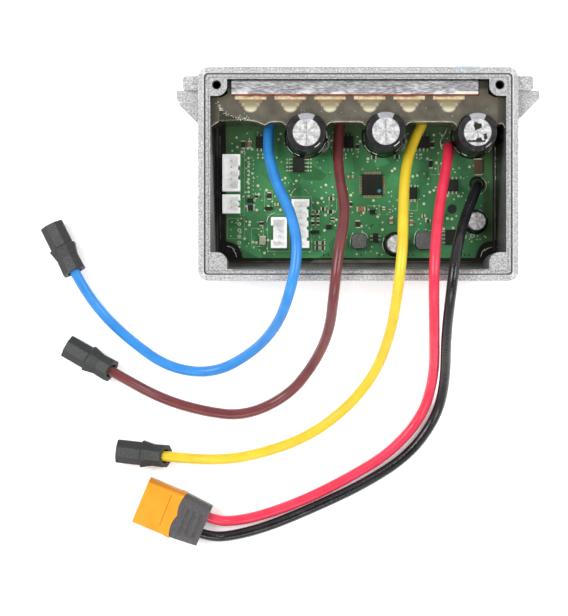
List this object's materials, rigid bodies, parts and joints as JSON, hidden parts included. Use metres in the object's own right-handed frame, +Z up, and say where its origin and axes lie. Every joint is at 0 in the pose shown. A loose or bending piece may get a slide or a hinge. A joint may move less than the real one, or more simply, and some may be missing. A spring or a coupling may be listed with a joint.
{
  "type": "electronic speed controller",
  "caption": "Open cast tray holding a potted motor drive board, with phase cords ending in round plugs and supply cords ending in a flat power connector.",
  "frame": {"origin": "middle of the footprint of the tray with its ears, thermal pad and film, on the table it stands on", "axes": "+X along the tray's length, +Y towards the wall that carries the heatsink bar and thermal pad, +Z up out of the open tray"},
  "size_m": [0.1653, 0.1587, 0.0377],
  "materials": {
    "cast_aluminium": "speckled cast, matte",
    "thermal_pad": "matte",
    "release_film": "clear film",
    "green_board": "green solder mask with lighter traces, glossy",
    "black_potting": "glossy black resin",
    "grey_potting": "translucent grey resin",
    "bar_aluminium": "sawn, with white compound smears",
    "red_film": "satin",
    "transistor_moulding": "matte black moulding",
    "chip_moulding": "matte black moulding",
    "bright_metal": "tinned, satin",
    "screw_steel": "satin",
    "white_nylon": "satin white",
    "header_white": "satin white",
    "can_aluminium": "satin",
    "black_sleeve": "shrunk film, glossy",
    "ferrite": "matte grey",
    "capacitor_ceramic": "tan ceramic",
    "resistor_body": "glazed black",
    "blue_silicone": "satin",
    "brown_silicone": "satin",
    "yellow_silicone": "satin",
    "red_silicone": "satin",
    "black_silicone": "satin",
    "plug_plastic": "matte",
    "connector_orange": "satin",
    "connector_cap": "matte",
    "contact_brass": "gold plated"
  },
  "bodies": {
    "root": {"bulk_capacitor_can_1": "can_aluminium", "bulk_capacitor_can_2": "can_aluminium", "bulk_capacitor_can_3": "can_aluminium", "bulk_capacitor_leads": "bright_metal", "bulk_capacitor_sleeve_1": "black_sleeve", "bulk_capacitor_sleeve_2": "black_sleeve", "bulk_capacitor_sleeve_3": "black_sleeve", "chip_capacitors": "capacitor_ceramic", "chip_ends": "bright_metal", "chip_leads": "bright_metal", "chip_resistors": "resistor_body", "circuit_board": "green_board", "clamp_screws": "screw_steel", "cord_black": "black_silicone", "cord_blue": "blue_silicone", "cord_brown": "brown_silicone", "cord_red": "red_silicone", "cord_yellow": "yellow_silicone", "diodes": "chip_moulding", "gate_driver_1": "chip_moulding", "gate_driver_2": "chip_moulding", "gate_driver_3": "chip_moulding", "header_2pin": "header_white", "header_4pin": "header_white", "header_5pin": "header_white", "header_7pin": "header_white", "header_pins": "contact_brass", "heatsink_bar": "bar_aluminium", "housing": "cast_aluminium", "insulating_bushes": "white_nylon", "insulator_film": "red_film", "microcontroller": "chip_moulding", "microcontroller_leads": "bright_metal", "phase_plug_blue": "plug_plastic", "phase_plug_brown": "plug_plastic", "phase_plug_contacts": "contact_brass", "phase_plug_yellow": "plug_plastic", "potting_base": "black_potting", "potting_slab": "grey_potting", "power_connector_cap": "connector_cap", "power_connector_contacts": "contact_brass", "power_connector_shell": "connector_orange", "power_inductor_1": "ferrite", "power_inductor_2": "ferrite", "release_film": "release_film", "small_capacitor_1": "can_aluminium", "small_capacitor_2": "can_aluminium", "small_capacitor_bases": "black_sleeve", "small_outline_chips": "chip_moulding", "thermal_pad": "thermal_pad", "transistor_1": "transistor_moulding", "transistor_2": "transistor_moulding", "transistor_3": "transistor_moulding", "transistor_4": "transistor_moulding", "transistor_5": "transistor_moulding", "transistor_6": "transistor_moulding", "transistor_leads": "bright_metal", "transistor_tabs": "bright_metal"}
  },
  "joints": []
}
